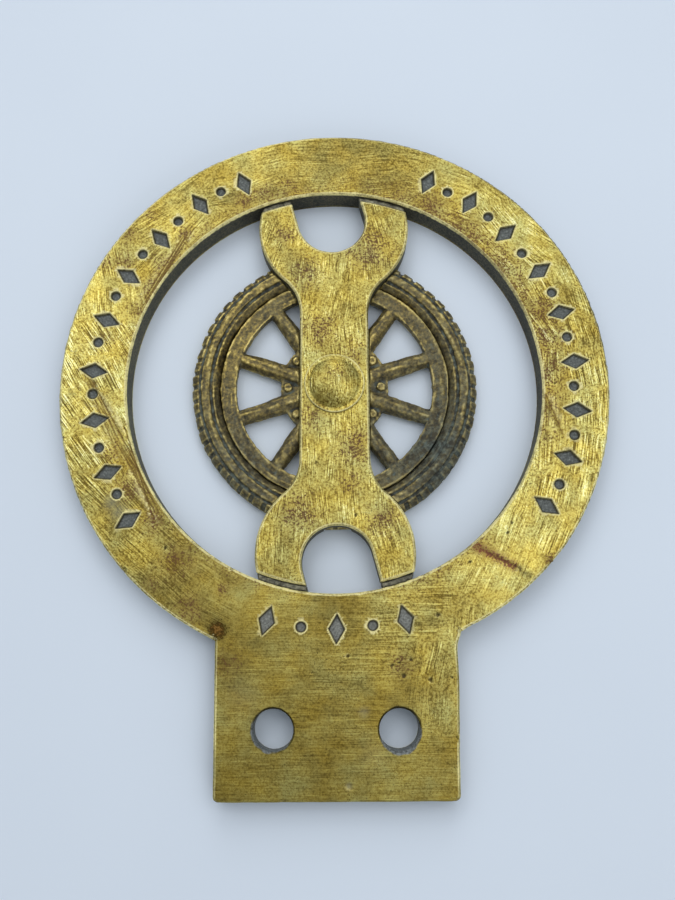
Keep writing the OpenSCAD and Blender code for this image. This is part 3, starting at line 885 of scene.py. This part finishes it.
def cutAtSeams(piece):
    shell = bmesh.new()
    shell.from_mesh(piece.data)
    cuts = []
    for node in ("left_braze_seam", "right_braze_seam"):
        low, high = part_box(node)
        for point, way in seamSides(node):
            below = [v for v in shell.verts if v.co.y < ringY * mm]
            faces = {face for v in below for face in v.link_faces}
            edges = {edge for face in faces for edge in face.edges}
            corners = {v for face in faces for v in face.verts}
            at = (np.array((*point, 0)) + fromCentre) * mm
            done = bmesh.ops.bisect_plane(shell, geom=[*corners, *edges, *faces], dist=0.0001 * mm,
                                          plane_co=at, plane_no=(*way, 0))
            for edge in done["geom_cut"]:
                if isinstance(edge, bmesh.types.BMEdge):
                    centre = middle(edge.verts[0].co, edge.verts[1].co)
                    if abs(centre.x - (low.x + high.x) / 2) < high.x - low.x and centre.y < high.y + mm:
                        cuts.append(edge)
    bmesh.ops.split_edges(shell, edges=cuts)
    rims = [edge for edge in shell.edges if edge.is_boundary]
    for edge in rims:
        edge.smooth = False
    bmesh.ops.holes_fill(shell, edges=rims)
    bmesh.ops.triangulate(shell, faces=[face for face in shell.faces if len(face.verts) > 4])
    shell.to_mesh(piece.data)
    shell.free()
    bpy.ops.object.select_all(action="DESELECT")
    piece.select_set(True)
    bpy.context.view_layer.objects.active = piece
    bpy.ops.mesh.separate(type="LOOSE")
    return bpy.context.selected_objects


def nearestEdge(points):
    # the nearest point of the plate's outline in plan
    x, y = points[:, 0], points[:, 1]
    side = np.where(x < 0, -1, 1)
    far = np.full(len(points), 1000.0)
    turn = cornerR - tabHalf
    rounds = [  # centre, radius and where the arc is part of the outline
        (0 * x, 0 * y, openingR, y < ringR),
        (0 * x, 0 * y, ringR, (abs(x) > tabHalf) | (y > 0)),
        (side * holeX, 0 * y - ringY, holeR, y < 0),
        (-side * turn, 0 * y + tabBottom + cornerR, cornerR, (abs(x) > -turn) & (y < tabBottom + cornerR)),
    ]
    found = []
    for middleX, middleY, radius, here in rounds:
        out = np.hypot(x - middleX, y - middleY) + 1e-9
        spot = np.stack([middleX + (x - middleX) * radius / out, middleY + (y - middleY) * radius / out], 1)
        found.append((spot, np.where(here, abs(out - radius), far)))
    below = np.hypot(x, y) > ringR - 1
    onSide = below & (y < 0) & (y > tabBottom + cornerR)
    found.append((np.stack([side * tabHalf, y], 1), np.where(onSide, abs(abs(x) - tabHalf), far)))
    onBottom = abs(x) < -turn
    found.append((np.stack([x, 0 * y + tabBottom], 1), np.where(onBottom, abs(y - tabBottom), far)))
    spots, gaps = (np.array(column) for column in zip(*found))
    best = gaps.argmin(0)
    row = np.arange(len(points))
    return spots[best, row], gaps[best, row]


def creased(piece):
    # points close to a corner of the plate's section move on to it, so the edges come out crisp
    points = readPoints(piece)[0]
    spots, inset = nearestEdge(points)
    height = points[:, 2].copy()
    corners = ((0, plateT - edgeBreak, plate["frontSnap"]), (edgeBreak, plateT, plate["frontSnap"]),
               (0, 0, plate["backSnap"]))
    onCorner = np.zeros(len(points), dtype=int)
    for i, (cornerIn, cornerUp, reach) in enumerate(corners):
        near = np.hypot(inset - cornerIn, height - cornerUp) < reach
        onCorner[near] = i + 1
        inward = (points[near, :2] - spots[near]) / np.maximum(inset[near, None], 1e-6)
        points[near, :2] = spots[near] + inward * cornerIn
        points[near, 2] = cornerUp
    writePoints(piece, points)
    shell = bmesh.new()
    shell.from_mesh(piece.data)
    for face in list(shell.faces):
        ends = [onCorner[vert.index] for vert in face.verts]
        for i in (0, 1):
            if len(ends) == 4 and ends[i] and ends[i] == ends[i + 2]:
                bmesh.utils.face_split(face, face.verts[i], face.verts[i + 2])  # no face spans the corner
                break
    bmesh.ops.remove_doubles(shell, verts=shell.verts, dist=plate["weld"] * mm)
    shell.to_mesh(piece.data)
    shell.free()
    piece.data.set_sharp_from_angle(angle=math.radians(25))
    return piece


def marked(points, normals):
    # where the front needs a fine mesh
    flat = points * (1, 1, 0) + (0, 0, plateT)
    near = (abs(fromPunch(points)[0]) < border["fine"]) | (strokeDepth(points)[1] > deepStrokes["fine"])
    near |= abs(np.hypot(abs(points[:, 0]) - holeX, points[:, 1] + ringY) - holeR) < plate["holeBand"]
    for x, y, radius, _ in pits + knocks:
        near |= np.linalg.norm(flat - (x, y, plateT), axis=1) < radius + plate["pitBand"]
    return near & (normals[:, 2] > 0.9)


def leaned(piece):
    # the tab was sawn by eye, a little wider at its neck, and the ring filed down beside it
    points = readPoints(piece)[0]
    neck = -math.sqrt(ringR ** 2 - tabHalf ** 2)
    share = smoothStep(tabBottom, neck, points[:, 1]) * (1 - smoothStep(neck, neck + 1.5, points[:, 1]))
    share *= smoothStep(0.75 * tabHalf, tabHalf, abs(points[:, 0]))
    left, right = plate["lean"]
    points[:, 0] += np.where(points[:, 0] < 0, -left, right) * share
    corner = np.array((tabHalf + right, neck))
    turn = math.radians(plate["shoulderEnd"])
    along, gap = alongLine(points, corner, (ringR * math.cos(turn), ringR * math.sin(turn)))
    filed = plate["shoulder"] * (1 - along) * fade(gap, plate["shoulderReach"])
    flare = fade(np.linalg.norm(points[:, :2] - corner, axis=1), plate["flareReach"])
    points[:, :2] *= (1 - filed / np.hypot(points[:, 0], points[:, 1]))[:, None]
    points[:, :2] += flare[:, None] * plate["flare"]
    writePoints(piece, points)
    return piece


def nearEdge(points, normals):
    fromFace = plateT / 2 - abs(points[:, 2] - plateT / 2)
    return (nearestEdge(points)[1] < plate["edgeBand"]) & (fromFace < plate["edgeBand"])


def nearFrontEdge(points, normals):
    return (nearestEdge(points)[1] < plate["frontBand"]) & (points[:, 2] > plateT - plate["frontDepth"])


def workedPlate():
    nodes = [part["node"] for part in plate["pieces"].values()]
    whole = remade(nodes, "plate", plate["cell"])
    refined(whole, nearEdge)
    refined(whole, nearFrontEdge)
    creased(snugged(whole, nodes))
    refined(whole, marked)
    refined(whole, marked)
    leaned(whole)
    workPlate(whole, plate["seed"], plate["wave"], plate["nick"], filing["plateKeys"])
    print("plate worked:", len(whole.data.polygons), "faces")
    return whole


for piece in cutAtSeams(workedPlate()):
    here = middle(piece.bound_box[0], piece.bound_box[6])
    name = min(plate["pieces"], key=lambda n: (middle(*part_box(plate["pieces"][n]["node"])) - here).length)
    part = plate["pieces"][name]
    piece.name = name
    piece.data.name = name
    placed(piece, part["slot"], filedBrass(*part["made"]), part["node"])

bars = {
    "polished_spanner": {"node": "spanner", "cell": 0.2, "easing": 1, "seed": 50},
    "polished_hub_cap": {"node": "hub_cap", "cell": 0.15, "easing": 3, "seed": 51},
}
barWear = {"wave": 0.03, "nick": 0.1}
for name, bar in bars.items():
    piece = eased(snugged(remade([bar["node"]], name, bar["cell"]), [bar["node"]]), bar["easing"])
    workPlate(piece, bar["seed"], barWear["wave"], barWear["nick"], filing["barKeys"])
    placed(piece, "polished_brass", filedBrass("polished_brass", barLook), bar["node"])


# As-cast bronze, never polished: grey-brown all over, rubbed golden on the ridges, grey-green in the grooves
castLook = {
    "skin": [(0.0, "#302e26"), (0.25, "#55503e"), (0.48, "#7f7148"), (0.7, "#ae9a56"), (1.0, "#e6d286")],
    "groove": "#373832", "verdigris": "#667068", "bloom": (0.42, 0.62),
    # the grain is drawn coarser than moulding sand, which is too fine to show
    "blotchMm": 3, "grainMm": 0.45, "lumpMm": 1.1, "patinaMm": 14,
    "level": 0.43, "ridge": 0.7, "blotch": 0.9, "grain": 1.0, "lump": 0.7,
    "caked": (0.8, -0.2), "damp": 0.55, "patina": 1.2,  # dirt by the blotches, the damp places and at large
    "rough": (0.5, 0.34), "dirtRough": 0.3, "pure": (0.95, 0.25),  # skin and ridges, bare and caked
    "bump": 0.7, "bumpMm": 0.09, "lumpHeight": 2.0,
}
casting = {
    "easing": 2,
    "skin": 0.06,  # how far the rough skin stands out, mm
    "skinWave": (0.7, 2.4),
    "tool": 0.07,  # depth of the tool marks left in the pattern
    "toolWave": (0.7, 1.6),
    "toolStretch": 6,  # how much longer than wide they are
    "spokes": 10,  # the first half a spacing round from +X
    "spokeEnd": 17.2,  # mm from the hub's middle
    "notches": 60,  # cut round the tyre's shoulder
    "notchDepth": 0.3,
    "shoulder": (1.7, 0.7),  # mm in from the rim, where the notches start and are full
    "damp": [(15, -13, 12, 1), (-17, -14, 7, 0.5), (19, 8, 7, 0.5)],  # where verdigris grew
}


def castBronze(name, look):
    material, add, place = startMaterial(name)
    ridge, hollow, damp = (add("Attribute", {"attribute_name": mark}).outputs["Fac"]
                           for mark in ("ridge", "hollow", "damp"))
    noises = {}
    for kind in ("blotch", "grain", "lump", "patina"):
        scale = perMm / look[kind + "Mm"]
        noises[kind] = add("TexNoise", {"Scale": scale, "Detail": 4, "Roughness": 0.65}, {"Vector": place})
    shown = ("blotch", "grain", "lump")
    level = look["level"] - 0.5 * sum(look[kind] for kind in shown)
    bright = add("Math", {"operation": "MULTIPLY_ADD", 1: look["ridge"], 2: level}, {0: ridge})
    for kind in shown:
        bright = add("Math", {"operation": "MULTIPLY_ADD", 1: look[kind]}, {0: noises[kind], 2: bright})
    skin = add("ValToRGB", {"stops": look["skin"]}, {"Fac": bright})

    # dirt and verdigris cake in the hollows and where it was damp
    bloom = add("MapRange", {"From": look["bloom"]}, {"Value": noises["lump"]})
    dirt = add("MixRGB", {}, {"Fac": bloom, "Color1": look["groove"], "Color2": look["verdigris"]})
    slope, base = look["caked"]
    caked = add("Math", {"operation": "MULTIPLY_ADD", 1: slope, 2: base}, {0: noises["blotch"]})
    caked = add("Math", {"operation": "ADD"}, {0: hollow, 1: caked})
    caked = add("Math", {"operation": "MULTIPLY_ADD", 1: look["damp"]}, {0: damp, 2: caked})
    share = look["patina"]
    green = add("Math", {"operation": "MULTIPLY_ADD", 1: share, 2: -share / 2}, {0: noises["patina"]})
    caked = add("Math", {"operation": "ADD", "use_clamp": True}, {0: caked, 1: green})
    colour = add("MixRGB", {}, {"Fac": caked, "Color1": skin, "Color2": dirt})
    rough = add("MapRange", {"To": look["rough"]}, {"Value": ridge})
    rough = add("Math", {"operation": "MULTIPLY_ADD", 1: look["dirtRough"]}, {0: caked, 2: rough})
    pure = add("MapRange", {"To": look["pure"]}, {"Value": caked})
    height = add("Math", {"operation": "MULTIPLY_ADD", 1: look["lumpHeight"]},
                 {0: noises["lump"], 2: noises["grain"]})
    bump = add("Bump", {"Strength": look["bump"], "Distance": look["bumpMm"] * mm}, {"Height": height})
    bronze = add("BsdfPrincipled", {},
                 {"Base Color": colour, "Metallic": pure, "Roughness": rough, "Normal": bump})
    add("OutputMaterial", {}, {"Surface": bronze})
    return material


def workCasting(piece, seed, tooled):
    points, normals = readPoints(piece)
    radius = np.hypot(points[:, 0], points[:, 1])
    angle = np.arctan2(points[:, 1], points[:, 0])
    out = casting["skin"] * ripple(points, seed, *casting["skinWave"], 40)
    if tooled:
        # tool marks run along the rim, and along each spoke
        grooved = np.stack([radius, angle * radius / casting["toolStretch"]], 1)
        spacing = 2 * math.pi / casting["spokes"]
        beside = (np.mod(angle, spacing) - spacing / 2) * radius
        apart = beside + 5 * np.floor(angle / spacing)  # so that no two spokes are alike
        fluted = np.stack([apart, radius / casting["toolStretch"]], 1)
        onRim = smoothStep(casting["spokeEnd"] - 0.3, casting["spokeEnd"] + 0.3, radius)
        out += casting["tool"] * onRim * ripple(grooved, seed + 1, *casting["toolWave"])
        out += casting["tool"] * (1 - onRim) * ripple(fluted, seed + 2, *casting["toolWave"])
        notch = smoothStep(0.35, 0.8, np.cos(angle * casting["notches"]))
        start, full = casting["shoulder"]
        out -= casting["notchDepth"] * notch * smoothStep(tyreR - start, tyreR - full, radius)
    points += normals * out[:, None] * (normals[:, 2:] > -0.5)
    writePoints(piece, points)
    points, normals = readPoints(piece)
    near = bulge(piece, points, normals, 6)
    wide = bulge(piece, points, normals, 40)
    paint(piece, "ridge", smoothStep(0.0, 0.09, near) * 0.6 + smoothStep(0.03, 0.35, wide) * 0.6)
    paint(piece, "hollow", smoothStep(0.01, 0.08, -near) * 0.5 + smoothStep(0.02, 0.2, -wide) * 0.7)
    paint(piece, "damp", spread(points, casting["damp"]))
    return piece


# Soft solder, wiped while hot: dull grey, slightly lumpy, browned by handling
solderLook = {
    "colours": [(0.3, "#3b3a33"), (0.48, "#6c6a5c"), (0.6, "#8b8873"), (0.75, "#a3a498")],
    "lumpMm": 0.9, "bump": 0.6, "bumpMm": 0.1, "pure": 0.8, "rough": 0.5,
}


def softSolder(name, look):
    material, add, place = startMaterial(name)
    scale = perMm / look["lumpMm"]
    lump = add("TexNoise", {"Scale": scale, "Detail": 5, "Roughness": 0.65}, {"Vector": place})
    colour = add("ValToRGB", {"stops": look["colours"]}, {"Fac": lump})
    bump = add("Bump", {"Strength": look["bump"], "Distance": look["bumpMm"] * mm}, {"Height": lump})
    solder = add("BsdfPrincipled", {"Metallic": look["pure"], "Roughness": look["rough"]},
                 {"Base Color": colour, "Normal": bump})
    add("OutputMaterial", {}, {"Surface": solder})
    return material


castings = {
    "cast_tyre": {"node": "tyre", "slot": "cast_bronze", "cell": 0.19, "seed": 70},
    "cast_wheel": {"node": "wheel_spider", "slot": "cast_bronze", "cell": 0.19, "seed": 71},
    "wiped_upper_jaw_solder": {"node": "upper_jaw_solder", "slot": "solder", "cell": 0.15, "seed": 90},
    "wiped_lower_jaw_solder": {"node": "lower_jaw_solder", "slot": "solder", "cell": 0.15, "seed": 91},
}
materials = {
    "cast_bronze": castBronze("as_cast_bronze", castLook),
    "solder": softSolder("soft_solder", solderLook),
}
for name, part in castings.items():
    piece = eased(remade([part["node"]], name, part["cell"]), casting["easing"])
    workCasting(piece, part["seed"], part["slot"] == "cast_bronze")
    placed(piece, part["slot"], materials[part["slot"]], part["node"])
frame["nodes"]["lap_solder"].data.materials.clear()
frame["nodes"]["lap_solder"].data.materials.append(materials["solder"])


# Table, light and camera
board = {"dark": "#dde8f5", "light": "#e4effb", "cloudMm": 60, "rough": 0.7, "size": 4}  # size in m


def palePaper(name, look):
    # smooth pale board with a cool cast
    material, add, place = startMaterial(name)
    cloud = add("TexNoise", {"Scale": perMm / look["cloudMm"], "Detail": 2}, {"Vector": place})
    colour = add("MixRGB", {}, {"Fac": cloud, "Color1": look["dark"], "Color2": look["light"]})
    paper = add("BsdfPrincipled", {"Roughness": look["rough"]}, {"Base Color": colour})
    add("OutputMaterial", {}, {"Surface": paper})
    return material


bpy.ops.mesh.primitive_plane_add(size=board["size"], location=(0, ringY * mm, 0))
floor = bpy.context.object
floor.name = "table"
floor.data.materials.append(palePaper("pale_board", board))

lamps = {  # place in mm from the ring's centre, size in mm, watts
    "right_window": {"at": (235, 35, 500), "size": 370, "power": 0.47},
    "left_window": {"at": (-280, 235, 500), "size": 340, "power": 0.47},
    "far_window": {"at": (0, 610, 470), "size": 420, "power": 1.05},
    "near_window": {"at": (260, -520, 340), "size": 360, "power": 0.5},
    "ceiling": {"at": (0, 150, 500), "size": 470, "power": 0.5},
}
for name, lamp in lamps.items():
    light = bpy.data.lights.new(name, "AREA")
    light.size = lamp["size"] * mm
    light.energy = lamp["power"]
    holder = bpy.data.objects.new(name, light)
    bpy.context.scene.collection.objects.link(holder)
    holder.location = (np.array(lamp["at"]) + fromCentre) * mm
    aim = floor.location - holder.location
    holder.rotation_euler = aim.to_track_quat("-Z", "Y").to_euler()

room = {"colour": "#e9eff6", "strength": 0.38}
world = bpy.data.worlds.new("soft_room")
world.use_nodes = True
sky = world.node_tree.nodes["Background"]
sky.inputs["Color"].default_value = hexColour(room["colour"])
sky.inputs["Strength"].default_value = room["strength"]
bpy.context.scene.world = world

# mm from the ring's centre, degrees, mm
view = {"at": (0.54, -45.46, 152.7), "tilt": (12.82, 0.11, -0.34), "lens": 35.74}
camera = bpy.data.cameras.new("photo_view")
camera.lens = view["lens"]
camera.clip_start = 0.01
eye = bpy.data.objects.new("photo_view", camera)
bpy.context.scene.collection.objects.link(eye)
eye.location = (np.array(view["at"]) + fromCentre) * mm
eye.rotation_euler = [math.radians(a) for a in view["tilt"]]
bpy.context.scene.camera = eye
bpy.context.scene.view_settings.view_transform = "Standard"
print("stage, lamps and camera ready")
